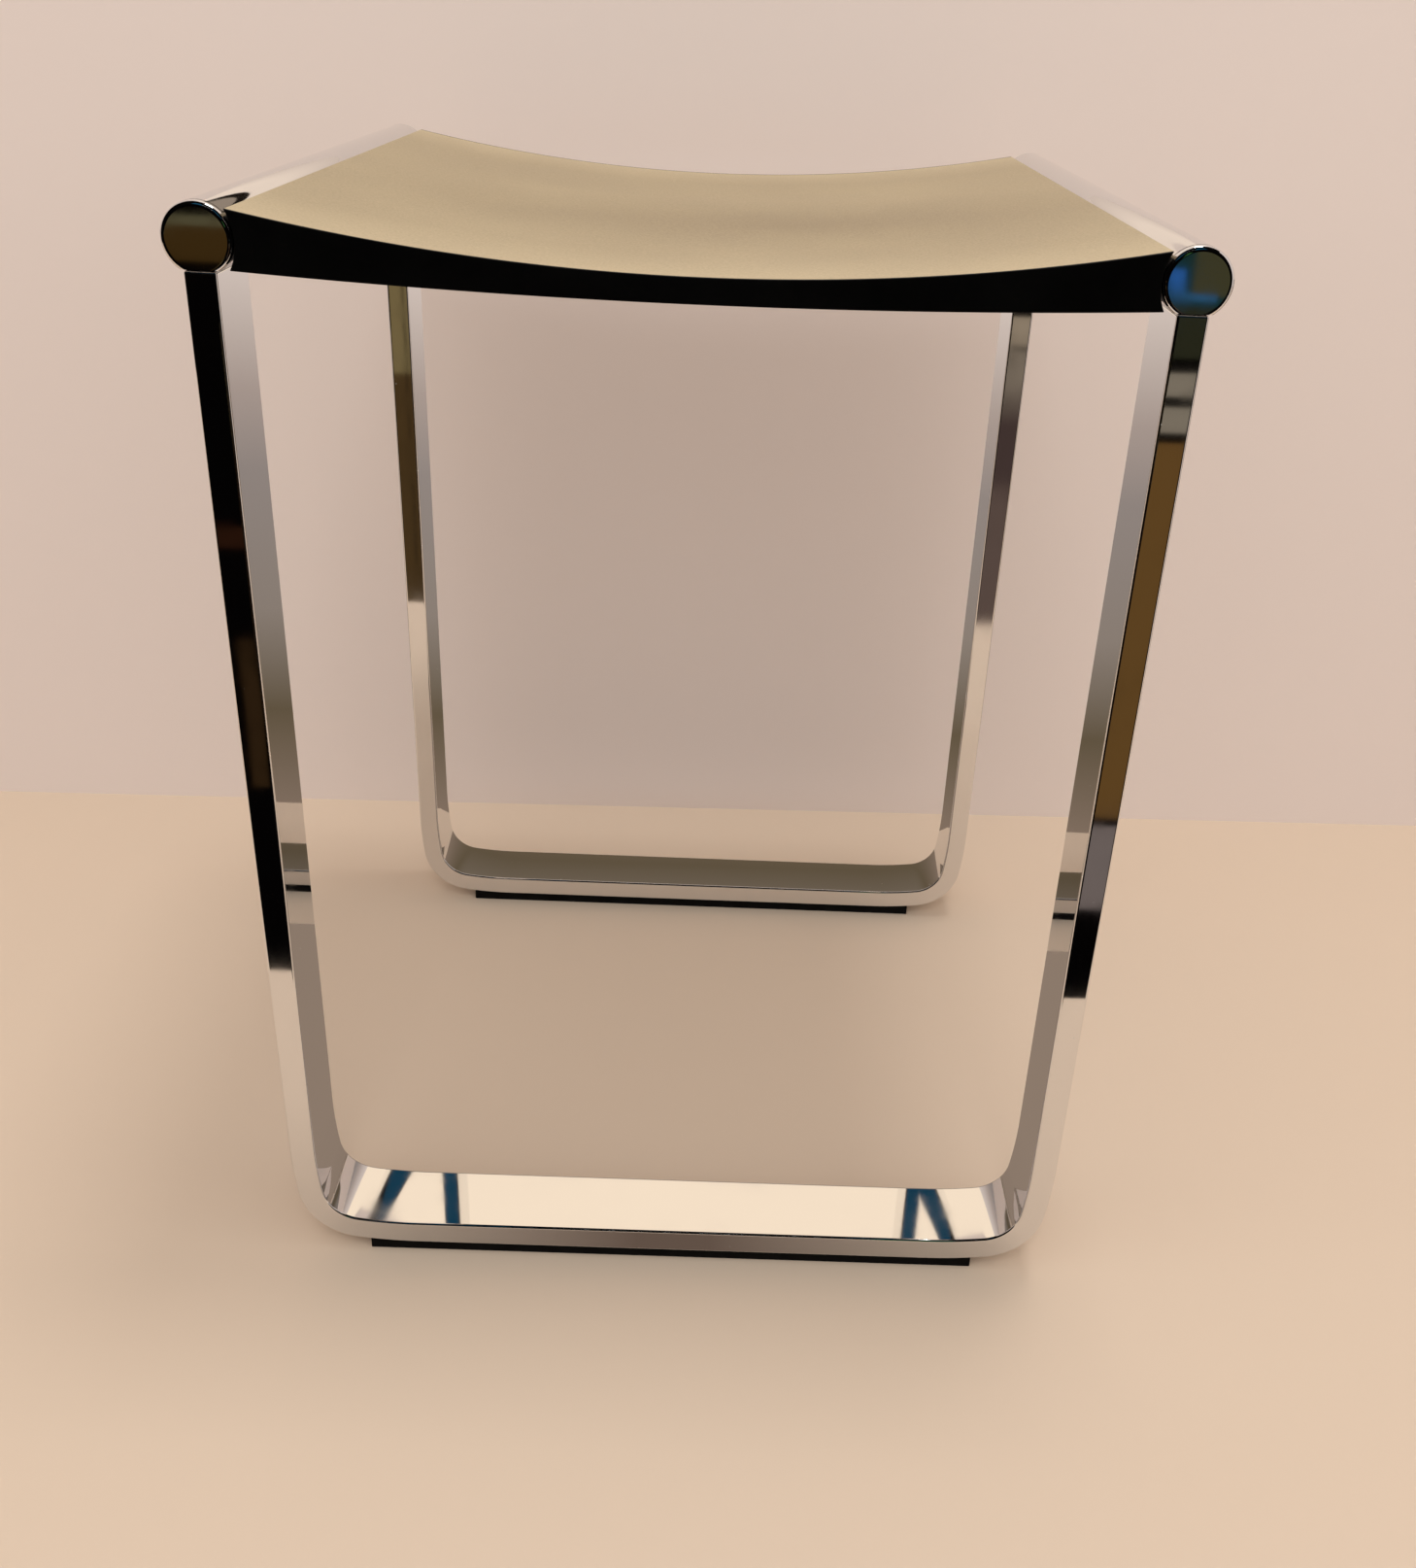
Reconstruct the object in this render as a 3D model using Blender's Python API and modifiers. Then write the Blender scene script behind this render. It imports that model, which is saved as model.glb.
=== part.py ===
"""Bathroom stool: two bent flat-bar frames carry two round rails, and a dished seat spans the rails.

Metres, +Z up. The floor is z = 0, the origin lies under the middle of the stool, and the front faces -Y.
"""

import math

import bmesh
import bpy
from mathutils import Matrix

MM = 0.001

# Overall sizes
FRAME_WIDTH = 340 * MM          # across the outer faces of the legs
FRAME_DEPTH = 340 * MM          # front face of the front frame to rear face of the rear frame
STOOL_HEIGHT = 452 * MM         # floor to the top of the rails

# Flat bar of the two frames
BAR_WIDTH = 35 * MM             # front to back
BAR_THICKNESS = 11 * MM
BAR_EDGE_RADIUS = 1 * MM
BEND_INSIDE_RADIUS = 23 * MM

# Glide strips under the frames
GLIDE_THICKNESS = 6 * MM
GLIDE_INSET = 2 * MM            # back from the bar's front and rear faces
GLIDE_OVERRUN = 2 * MM          # past the flat run, under the start of each bend
GLIDE_EDGE_RADIUS = 0.6 * MM

# Rails
RAIL_DIAMETER = 24 * MM
RAIL_WALL = 4 * MM
RAIL_FLAT_DEPTH = 2.2 * MM      # flat milled in the underside, where a leg meets the rail

# Plugs in the rail ends
PLUG_FLANGE = 3 * MM
PLUG_RIM_RADIUS = 1.8 * MM
PLUG_LEAD_IN = 1 * MM

# Dowels between leg tops and rails
DOWEL_DIAMETER = 6 * MM
DOWEL_SPACING = 17 * MM
DOWEL_DEPTH_IN_LEG = 16 * MM
DOWEL_DEPTH_IN_RAIL = 9 * MM

# Seat
SEAT_LIP_ABOVE_RAIL_AXIS = 9.8 * MM
SEAT_LIP_BELOW_RAIL_AXIS = 9.6 * MM
SEAT_END_RADIUS = 20 * MM       # hollow of the seat ends, wider than the rail
SEAT_TOP_SAG = 14.8 * MM
SEAT_UNDERSIDE_SAG = 4.2 * MM
INLAY_THICKNESS = 1.2 * MM
INLAY_RIM = 1 * MM              # black rim left along the front and rear edges
CORE_THICKNESS = 3 * MM
CORE_LENGTH = 240 * MM          # between the rails
CORE_DEPTH = 300 * MM           # front to back

# Pins between seat ends and rails
PIN_DIAMETER = 8 * MM
PIN_SPACING = 180 * MM
PIN_DEPTH_IN_SEAT = 18 * MM
PIN_DEPTH_IN_RAIL = 6 * MM

# Gap between pieces that touch, how far a cutter runs past the surface it opens, and welding
FIT_GAP = 0.3 * MM
CUT_MARGIN = 5 * MM
WELD_DISTANCE = 0.01 * MM

# Facets
BEND_SEGMENTS = 12
RAIL_SEGMENTS = 48
HOLE_SEGMENTS = 16
DISH_SEGMENTS = 32
UNDERSIDE_SEGMENTS = 12
END_SEGMENTS = 11               # odd, so that no facet edge runs through the pin holes' middle
RIM_SEGMENTS = 3
EDGE_SEGMENTS = 2

# Places worked out from the sizes above
RAIL_RADIUS = RAIL_DIAMETER / 2
BORE_RADIUS = RAIL_RADIUS - RAIL_WALL
RAIL_AXIS_X = (FRAME_WIDTH - BAR_THICKNESS) / 2
RAIL_AXIS_Z = STOOL_HEIGHT - RAIL_RADIUS
RAIL_FLAT_Z = RAIL_AXIS_Z - RAIL_RADIUS + RAIL_FLAT_DEPTH
LEG_TOP_Z = RAIL_FLAT_Z - FIT_GAP
LEG_CENTRE_Y = (FRAME_DEPTH - BAR_WIDTH) / 2
RAIL_LENGTH = FRAME_DEPTH - 2 * (PLUG_FLANGE + FIT_GAP)
SEAT_END_X = RAIL_AXIS_X - RAIL_RADIUS - FIT_GAP
SEAT_END_CENTRE_X = SEAT_END_X + SEAT_END_RADIUS

SIDES = {"left": -1, "right": 1}
ENDS = {"front": -1, "rear": 1}


# Scene and collections
for old in list(bpy.data.objects):
    bpy.data.objects.remove(old, do_unlink=True)

stool_collection = bpy.data.collections.new("bathroom_stool")
cutter_collection = bpy.data.collections.new("cutters")
for collection in (stool_collection, cutter_collection):
    bpy.context.scene.collection.children.link(collection)

stool_origin = bpy.data.objects.new("stool_origin", None)
stool_collection.objects.link(stool_origin)


def finish(name, colour, metallic, roughness):
    """A plain finish: one colour, metallic or not, with one roughness."""
    material = bpy.data.materials.new(name)
    material.use_nodes = True
    shader = material.node_tree.nodes["Principled BSDF"]
    shader.inputs["Base Color"].default_value = (*colour, 1.0)
    shader.inputs["Metallic"].default_value = metallic
    shader.inputs["Roughness"].default_value = roughness
    return material


CHROME = finish("polished_chrome", (0.78, 0.78, 0.79), 1.0, 0.06)
STEEL = finish("bright_steel", (0.56, 0.56, 0.57), 1.0, 0.35)
BLACK_MOULDING = finish("black_moulding", (0.008, 0.008, 0.008), 0.0, 0.45)
KHAKI_SKIN = finish("khaki_skin", (0.42, 0.33, 0.21), 0.0, 0.55)
BLACK_RUBBER = finish("black_rubber", (0.01, 0.01, 0.01), 0.0, 0.8)


def add_part(name, mesh, material, location=(0, 0, 0), rotation=(0, 0, 0)):
    """One named piece of the stool, placed under the stool's origin."""
    part = bpy.data.objects.new(name, mesh)
    stool_collection.objects.link(part)
    part.parent = stool_origin
    part.location = location
    part.rotation_euler = rotation
    if not mesh.materials:
        mesh.materials.append(material)
    return part


def add_cutter(name, mesh, location=(0, 0, 0)):
    """A shape that only cuts other pieces."""
    cutter = bpy.data.objects.new(name, mesh)
    cutter_collection.objects.link(cutter)
    cutter.location = location
    cutter.hide_render = True
    cutter.display_type = "WIRE"
    return cutter


def cut(part, cutter):
    boolean = part.modifiers.new("cut " + cutter.name, "BOOLEAN")
    boolean.operation = "DIFFERENCE"
    boolean.object = cutter
    boolean.solver = "EXACT"


def round_edges(part, radius):
    bevel = part.modifiers.new("rounded edges", "BEVEL")
    bevel.width = radius
    bevel.segments = EDGE_SEGMENTS
    bevel.limit_method = "ANGLE"
    bevel.angle_limit = math.radians(40)


def shade(mesh):
    mesh.shade_smooth()
    mesh.set_sharp_from_angle(angle=math.radians(35))


def arc(centre, radius, start, end, segments):
    """Points on a circle in the XZ plane, from one angle to another."""
    step = (end - start) / segments
    angles = [start + step * index for index in range(segments + 1)]
    return [(centre[0] + radius * math.cos(a), centre[1] + radius * math.sin(a)) for a in angles]


def extruded(name, outline, depth):
    """A solid whose outline lies in the XZ plane, with its depth centred on Y = 0."""
    curve = bpy.data.curves.new(name, "CURVE")
    curve.dimensions = "2D"
    curve.fill_mode = "BOTH"
    curve.extrude = depth / 2
    spline = curve.splines.new("POLY")
    spline.points.add(len(outline) - 1)
    for point, (x, z) in zip(spline.points, outline):
        point.co = (x, z, 0, 1)
    spline.use_cyclic_u = True

    holder = bpy.data.objects.new(name, curve)
    cutter_collection.objects.link(holder)
    depsgraph = bpy.context.evaluated_depsgraph_get()
    mesh = bpy.data.meshes.new_from_object(holder.evaluated_get(depsgraph))
    bpy.data.objects.remove(holder)

    flat_angle = math.radians(0.02)
    bm = bmesh.new()
    bm.from_mesh(mesh)
    bmesh.ops.remove_doubles(bm, verts=bm.verts, dist=WELD_DISTANCE)
    bmesh.ops.dissolve_limit(bm, angle_limit=flat_angle, verts=bm.verts, edges=bm.edges)
    bmesh.ops.transform(bm, matrix=Matrix.Rotation(math.pi / 2, 4, "X"), verts=bm.verts)
    bmesh.ops.recalc_face_normals(bm, faces=bm.faces)
    bm.to_mesh(mesh)
    bm.free()
    shade(mesh)
    return mesh


def rod(name, diameter, length, axis, segments):
    """A plain round rod along X, Y or Z, centred on its origin."""
    turn = {
        "X": Matrix.Rotation(math.pi / 2, 4, "Y"),
        "Y": Matrix.Rotation(math.pi / 2, 4, "X"),
        "Z": Matrix.Identity(4),
    }[axis]
    mesh = bpy.data.meshes.new(name)
    bm = bmesh.new()
    bmesh.ops.create_cone(bm, cap_ends=True, segments=segments, radius1=diameter / 2,
                          radius2=diameter / 2, depth=length, matrix=turn)
    bm.to_mesh(mesh)
    bm.free()
    shade(mesh)
    return mesh


def block(name, size):
    """A rectangular block centred on its origin."""
    mesh = bpy.data.meshes.new(name)
    bm = bmesh.new()
    bmesh.ops.create_cube(bm, size=1, matrix=Matrix.Diagonal((*size, 1)))
    bm.to_mesh(mesh)
    bm.free()
    return mesh


# Frames: the bent bar's outline, extruded over the bar's width
def bar_outline():
    half = FRAME_WIDTH / 2
    inner_half = half - BAR_THICKNESS
    outside_radius = BEND_INSIDE_RADIUS + BAR_THICKNESS
    bend_x = half - outside_radius
    bend_z = GLIDE_THICKNESS + outside_radius
    down = 1.5 * math.pi

    def bends(radius):
        left = arc((-bend_x, bend_z), radius, math.pi, down, BEND_SEGMENTS)
        right = arc((bend_x, bend_z), radius, down, 2 * math.pi, BEND_SEGMENTS)
        return left + right

    outside = [(-half, LEG_TOP_Z), *bends(outside_radius), (half, LEG_TOP_Z)]
    inside = [(-inner_half, LEG_TOP_Z), *bends(BEND_INSIDE_RADIUS), (inner_half, LEG_TOP_Z)]
    return outside + inside[::-1]


frame_mesh = extruded("bent_bar", bar_outline(), BAR_WIDTH)
frames = {}
for end, sign in ENDS.items():
    frames[end] = add_part(f"{end}_leg_frame", frame_mesh, CHROME, (0, sign * LEG_CENTRE_Y, 0))
    round_edges(frames[end], BAR_EDGE_RADIUS)

# Glide strips: bonded under the flat run of each frame
flat_run = FRAME_WIDTH - 2 * (BEND_INSIDE_RADIUS + BAR_THICKNESS)
glide_height = GLIDE_THICKNESS - FIT_GAP
glide_size = (flat_run + 2 * GLIDE_OVERRUN, BAR_WIDTH - 2 * GLIDE_INSET, glide_height)
glide_mesh = block("glide_strip", glide_size)
for end, sign in ENDS.items():
    glide = add_part(f"{end}_glide_strip", glide_mesh, BLACK_RUBBER,
                     (0, sign * LEG_CENTRE_Y, glide_height / 2))
    round_edges(glide, GLIDE_EDGE_RADIUS)

# Rails: thick tube, front to back over the leg tops
rail_mesh = rod("rail", RAIL_DIAMETER, RAIL_LENGTH, "Y", RAIL_SEGMENTS)
bore_mesh = rod("rail_bore", 2 * BORE_RADIUS, RAIL_LENGTH + 2 * CUT_MARGIN, "Y", RAIL_SEGMENTS // 2)
rails = {}
for side, sign in SIDES.items():
    place = (sign * RAIL_AXIS_X, 0, RAIL_AXIS_Z)
    rails[side] = add_part(f"{side}_seat_rail", rail_mesh, CHROME, place)
    cut(rails[side], add_cutter(f"{side}_rail_bore", bore_mesh, place))


# Rail plugs: turned, with a flat face, a rounded rim and a spigot as long as the leg is wide
def plug_profile():
    rim_x = RAIL_RADIUS - PLUG_RIM_RADIUS
    rim = arc((rim_x, -PLUG_RIM_RADIUS), PLUG_RIM_RADIUS, math.pi / 2, 0, RIM_SEGMENTS)
    spigot = BORE_RADIUS - FIT_GAP
    spigot_end = -BAR_WIDTH
    return [
        (0, 0),
        *rim,
        (RAIL_RADIUS, -PLUG_FLANGE),
        (spigot, -PLUG_FLANGE),
        (spigot, spigot_end + PLUG_LEAD_IN),
        (spigot - PLUG_LEAD_IN, spigot_end),
        (0, spigot_end),
    ]


def profile_mesh(name, profile):
    """An open profile in the XZ plane, ready to be turned about Z."""
    mesh = bpy.data.meshes.new(name)
    bm = bmesh.new()
    points = [bm.verts.new((x, 0, z)) for x, z in profile]
    for first, second in zip(points, points[1:]):
        bm.edges.new((first, second))
    bm.to_mesh(mesh)
    bm.free()
    return mesh


plug_mesh = profile_mesh("rail_plug", plug_profile())
plugs = {}
for end, end_sign in ENDS.items():
    for side, side_sign in SIDES.items():
        plug = add_part(f"{end}_{side}_rail_plug", plug_mesh, CHROME,
                        (side_sign * RAIL_AXIS_X, end_sign * FRAME_DEPTH / 2, RAIL_AXIS_Z),
                        (-end_sign * math.pi / 2, 0, 0))
        turned = plug.modifiers.new("turned", "SCREW")
        turned.axis = "Z"
        turned.steps = RAIL_SEGMENTS
        turned.render_steps = RAIL_SEGMENTS
        turned.use_merge_vertices = True
        turned.merge_threshold = WELD_DISTANCE
        turned.use_smooth_shade = True
        plugs[end, side] = plug

# Leg joints: each leg top meets a flat under the rail and its plug, on two dowels
dowel_length = DOWEL_DEPTH_IN_LEG + FIT_GAP + DOWEL_DEPTH_IN_RAIL
dowel_centre_z = RAIL_FLAT_Z + DOWEL_DEPTH_IN_RAIL - dowel_length / 2
dowel_mesh = rod("leg_dowel", DOWEL_DIAMETER, dowel_length, "Z", HOLE_SEGMENTS)
dowel_hole_mesh = rod("dowel_hole", DOWEL_DIAMETER + 2 * FIT_GAP, dowel_length + 2 * FIT_GAP, "Z",
                      HOLE_SEGMENTS)
flat_length = BAR_WIDTH + FIT_GAP + CUT_MARGIN
flat_mesh = block("leg_flat", (RAIL_DIAMETER + 2 * CUT_MARGIN, flat_length, RAIL_DIAMETER))
flat_y = FRAME_DEPTH / 2 + CUT_MARGIN - flat_length / 2
for end, end_sign in ENDS.items():
    for side, side_sign in SIDES.items():
        x = side_sign * RAIL_AXIS_X
        flat = add_cutter(f"{end}_{side}_leg_flat", flat_mesh,
                          (x, end_sign * flat_y, RAIL_FLAT_Z - RAIL_DIAMETER / 2))
        cut(rails[side], flat)
        cut(plugs[end, side], flat)
        for place, along in (("outer", 1), ("inner", -1)):
            y = end_sign * (LEG_CENTRE_Y + along * DOWEL_SPACING / 2)
            add_part(f"{end}_{side}_{place}_leg_dowel", dowel_mesh, STEEL, (x, y, dowel_centre_z))
            hole = add_cutter(f"{end}_{side}_{place}_dowel_hole", dowel_hole_mesh, (x, y, dowel_centre_z))
            for piece in (frames[end], rails[side], plugs[end, side]):
                cut(piece, hole)

# Seat: the dish of its top is one circle, lowered for each layer under it
dish_half = SEAT_END_CENTRE_X - math.sqrt(SEAT_END_RADIUS ** 2 - SEAT_LIP_ABOVE_RAIL_AXIS ** 2)
dish_radius = (dish_half ** 2 + SEAT_TOP_SAG ** 2) / (2 * SEAT_TOP_SAG)
dish_centre_z = RAIL_AXIS_Z + SEAT_LIP_ABOVE_RAIL_AXIS - SEAT_TOP_SAG + dish_radius


def dish(half_width, drop):
    """The seat top's arc from left to right, lowered by a drop."""
    reach = math.asin(half_width / dish_radius)
    down = 1.5 * math.pi
    return arc((0, dish_centre_z - drop), dish_radius, down - reach, down + reach, DISH_SEGMENTS)


def seat_outline():
    upper = math.asin(SEAT_LIP_ABOVE_RAIL_AXIS / SEAT_END_RADIUS)
    lower = math.asin(SEAT_LIP_BELOW_RAIL_AXIS / SEAT_END_RADIUS)
    right_end = arc((SEAT_END_CENTRE_X, RAIL_AXIS_Z), SEAT_END_RADIUS,
                    math.pi - upper, math.pi + lower, END_SEGMENTS)
    left_end = [(-x, z) for x, z in right_end[::-1]]
    under_half, under_z = right_end[-1]
    under_radius = (under_half ** 2 + SEAT_UNDERSIDE_SAG ** 2) / (2 * SEAT_UNDERSIDE_SAG)
    under_reach = math.asin(under_half / under_radius)
    under_centre = (0, under_z - SEAT_UNDERSIDE_SAG + under_radius)
    down = 1.5 * math.pi
    underside = arc(under_centre, under_radius, down + under_reach, down - under_reach,
                    UNDERSIDE_SEGMENTS)
    return dish(dish_half, 0)[:-1] + right_end[:-1] + underside[:-1] + left_end[:-1]


core_top = INLAY_THICKNESS + FIT_GAP
core_bottom = core_top + CORE_THICKNESS
core_half = CORE_LENGTH / 2
inlay_under_lip = SEAT_LIP_ABOVE_RAIL_AXIS - INLAY_THICKNESS
inlay_under_half = SEAT_END_CENTRE_X - math.sqrt(SEAT_END_RADIUS ** 2 - inlay_under_lip ** 2)
inlay_outline = dish(dish_half, 0) + dish(inlay_under_half, INLAY_THICKNESS)[::-1]
core_outline = dish(core_half, core_top) + dish(core_half, core_bottom)[::-1]

inlay_bed_half = dish_half + CUT_MARGIN
inlay_bed_outline = dish(inlay_bed_half, -CUT_MARGIN) + dish(inlay_bed_half, core_top)[::-1]
core_bed_half = core_half + FIT_GAP
core_bed_outline = dish(core_bed_half, -CUT_MARGIN) + dish(core_bed_half, core_bottom + FIT_GAP)[::-1]
inlay_bed_depth = FRAME_DEPTH - 2 * INLAY_RIM

seat_body = add_part("seat_body", extruded("seat_body", seat_outline(), FRAME_DEPTH), BLACK_MOULDING)
cut(seat_body, add_cutter("core_bed", extruded("core_bed", core_bed_outline, CORE_DEPTH + 2 * FIT_GAP)))
cut(seat_body, add_cutter("inlay_bed", extruded("inlay_bed", inlay_bed_outline, inlay_bed_depth)))
core_plate = add_part("seat_core_plate", extruded("seat_core_plate", core_outline, CORE_DEPTH), STEEL)
add_part("seat_inlay", extruded("seat_inlay", inlay_outline, inlay_bed_depth - 2 * FIT_GAP), KHAKI_SKIN)

# Seat pins: two at each end, from the seat into the rail's bore, with room in the core plate
# wherever a pin reaches that far
pin_length = PIN_DEPTH_IN_SEAT + FIT_GAP + PIN_DEPTH_IN_RAIL
pin_centre_x = SEAT_END_X - PIN_DEPTH_IN_SEAT + pin_length / 2
pin_mesh = rod("seat_pin", PIN_DIAMETER, pin_length, "X", HOLE_SEGMENTS)
pin_hole_mesh = rod("pin_hole", PIN_DIAMETER + 2 * FIT_GAP, pin_length + 2 * FIT_GAP, "X", HOLE_SEGMENTS)
for end, end_sign in ENDS.items():
    for side, side_sign in SIDES.items():
        place = (side_sign * pin_centre_x, end_sign * PIN_SPACING / 2, RAIL_AXIS_Z)
        add_part(f"{end}_{side}_seat_pin", pin_mesh, STEEL, place)
        hole = add_cutter(f"{end}_{side}_pin_hole", pin_hole_mesh, place)
        for piece in (rails[side], seat_body, core_plate):
            cut(piece, hole)
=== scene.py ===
import math

import bmesh
import bpy
from mathutils import Matrix, Vector


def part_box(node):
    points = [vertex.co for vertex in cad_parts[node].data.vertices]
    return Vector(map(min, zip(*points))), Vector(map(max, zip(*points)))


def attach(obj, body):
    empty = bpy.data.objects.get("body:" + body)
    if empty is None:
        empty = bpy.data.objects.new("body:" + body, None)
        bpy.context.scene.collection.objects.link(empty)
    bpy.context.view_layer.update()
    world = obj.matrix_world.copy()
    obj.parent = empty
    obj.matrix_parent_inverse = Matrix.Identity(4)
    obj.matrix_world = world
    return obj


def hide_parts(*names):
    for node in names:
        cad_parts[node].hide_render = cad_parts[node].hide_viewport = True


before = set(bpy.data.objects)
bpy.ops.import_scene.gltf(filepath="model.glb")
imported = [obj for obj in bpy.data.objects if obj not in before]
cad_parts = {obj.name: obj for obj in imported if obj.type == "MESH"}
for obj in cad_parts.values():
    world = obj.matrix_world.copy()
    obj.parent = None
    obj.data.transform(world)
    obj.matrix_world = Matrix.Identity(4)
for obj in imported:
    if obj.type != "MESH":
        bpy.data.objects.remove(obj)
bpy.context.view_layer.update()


# Leg frames
# Each is one flat steel bar, bent twice round a former into a U. Its edges are eased on a belt, and
# the bar is then mirror polished and chromium plated, so that it shows what stands round it.
MM = 0.001
BAR_THICKNESS = 11 * MM
BAR_EDGE_RADIUS = 1 * MM
BAR_END_EASING = 0.8 * MM
BEND_INSIDE_RADIUS = 23 * MM
RUN_IN_RADIUS = 205 * MM
RUN_IN_ANGLE = math.radians(7.5)
RUN_IN_STEPS = 16
BEND_STEPS = 40
CORNER_STEPS = 6


def linear(colour):
    """An sRGB hex colour as linear red, green, blue and alpha."""
    channels = [int(colour[start:start + 2], 16) / 255 for start in (1, 3, 5)]
    values = [c / 12.92 if c <= 0.04045 else ((c + 0.055) / 1.055) ** 2.4 for c in channels]
    return (*values, 1.0)


def new_material(name):
    """A material with nodes, with its node tree and its main shader."""
    material = bpy.data.materials.new(name)
    material.use_nodes = True
    tree = material.node_tree
    return material, tree, tree.nodes["Principled BSDF"]


def add_node(tree, kind, inputs=None, **settings):
    """One node with its settings. An input is a value, or another node's output to link to it."""
    node = tree.nodes.new(kind)
    for name, value in settings.items():
        setattr(node, name, value)
    for name, value in (inputs or {}).items():
        if isinstance(value, bpy.types.NodeSocket):
            tree.links.new(value, node.inputs[name])
        else:
            node.inputs[name].default_value = value
    return node


def add_noise(tree, place, size, detail):
    """Noise whose patches are about as wide as the size."""
    return add_node(tree, "ShaderNodeTexNoise", {
        "Vector": place, "Scale": 1 / size, "Detail": detail}).outputs["Fac"]


def set_ramp(node, *stops):
    """Gives a colour ramp its stops, as pairs of place and sRGB hex colour."""
    elements = node.color_ramp.elements
    while len(elements) < len(stops):
        elements.new(1.0)
    for element, (place, colour) in zip(elements, stops):
        element.position = place
        element.color = linear(colour)


def polished_chromium():
    """Chromium plate on mirror-polished steel: a clear reflection, a faint waviness left by the belt,
    thin wiping haze, and a little dust that shows where the plate reflects something dark."""
    wave_length = 70 * MM
    wave_height = 0.05 * MM
    haze_size = 24 * MM
    dust_spacing = 11 * MM
    speck_core = 0.132 * MM
    speck_rim = 0.242 * MM
    material, tree, shader = new_material("polished_chromium_plate")
    place = add_node(tree, "ShaderNodeTexCoord").outputs["Object"]
    wave = add_noise(tree, place, wave_length, 1.0)
    bump = add_node(tree, "ShaderNodeBump", {"Height": wave, "Distance": wave_height})
    haze = add_noise(tree, place, haze_size, 5.0)
    haze_roughness = add_node(tree, "ShaderNodeMapRange", {
        "Value": haze, "From Min": 0.45, "From Max": 0.75, "To Min": 0.03, "To Max": 0.075})
    dust = add_node(tree, "ShaderNodeTexVoronoi", {"Vector": place, "Scale": 1 / dust_spacing})
    speck = add_node(tree, "ShaderNodeMapRange", {
        "Value": dust.outputs["Distance"], "From Min": speck_core / dust_spacing,
        "From Max": speck_rim / dust_spacing, "To Min": 1.0, "To Max": 0.0})
    colour = add_node(tree, "ShaderNodeValToRGB", {"Fac": speck.outputs["Result"]})
    set_ramp(colour, (0.0, "#E6E6E7"), (1.0, "#B9B4AC"))
    metal = add_node(tree, "ShaderNodeMath", {0: 1.0, 1: speck.outputs["Result"]}, operation="SUBTRACT")
    roughness = add_node(tree, "ShaderNodeMath", {
        0: haze_roughness.outputs["Result"], 1: speck.outputs["Result"]}, operation="MAXIMUM")
    tree.links.new(colour.outputs["Color"], shader.inputs["Base Color"])
    tree.links.new(metal.outputs["Value"], shader.inputs["Metallic"])
    tree.links.new(roughness.outputs["Value"], shader.inputs["Roughness"])
    tree.links.new(bump.outputs["Normal"], shader.inputs["Normal"])
    return material


def rounded_rectangle(half_across, half_along, radius):
    """Places and outward directions round a rectangle with round corners."""
    ring = []
    for quarter, (across, along) in enumerate(((1, 1), (-1, 1), (-1, -1), (1, -1))):
        corner = Vector((across * (half_across - radius), along * (half_along - radius)))
        for step in range(CORNER_STEPS + 1):
            angle = (quarter + step / CORNER_STEPS) * math.pi / 2
            outward = Vector((math.cos(angle), math.sin(angle)))
            ring.append((corner + radius * outward, outward))
    return ring


def new_mesh(name, bm):
    """A mesh from a bmesh, which is then freed."""
    mesh = bpy.data.meshes.new(name)
    bm.to_mesh(mesh)
    bm.free()
    return mesh


def swept_bar(name, stations, half_across, half_along, edge_radius, end_easing):
    """A bar of rounded rectangular section through stations of centre, across and along, with eased
    ends. Each vertex keeps the true normal of the surface, so that flat faces reflect flat."""
    first_end = (stations[0][0] - stations[1][0]).normalized()
    last_end = (stations[-1][0] - stations[-2][0]).normalized()
    tilts = [math.pi / 2 * step / CORNER_STEPS for step in range(CORNER_STEPS + 1)]
    layout = [(stations[0], first_end, tilt) for tilt in reversed(tilts)]
    layout += [(station, Vector(), 0.0) for station in stations[1:-1]]
    layout += [(stations[-1], last_end, tilt) for tilt in tilts]
    bm = bmesh.new()
    rings = []
    normals = []
    for (centre, across, along), end, tilt in layout:
        inset = end_easing * (1 - math.cos(tilt))
        lifted = centre + end * end_easing * (math.sin(tilt) - 1)
        section = rounded_rectangle(half_across - inset, half_along - inset, edge_radius - inset)
        rings.append([bm.verts.new(lifted + across * place.x + along * place.y) for place, _ in section])
        for _, outward in section:
            side = across * outward.x + along * outward.y
            normals.append(side * math.cos(tilt) + end * math.sin(tilt))
    for here, there in zip(rings, rings[1:]):
        for column in range(len(here)):
            beside = (column + 1) % len(here)
            bm.faces.new((here[column], here[beside], there[beside], there[column]))
    bm.faces.new(rings[0])
    bm.faces.new(rings[-1])
    bmesh.ops.recalc_face_normals(bm, faces=bm.faces)
    mesh = new_mesh(name, bm)
    mesh.shade_smooth()
    mesh.normals_split_custom_set_from_vertices(normals)
    return mesh


def add_piece(name, mesh, material, node):
    """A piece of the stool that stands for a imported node, on the stool's one body."""
    piece = bpy.data.objects.new(name, mesh)
    bpy.context.scene.collection.objects.link(piece)
    mesh.materials.clear()
    mesh.materials.append(material)
    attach(piece, "root")
    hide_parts(node)


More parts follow.
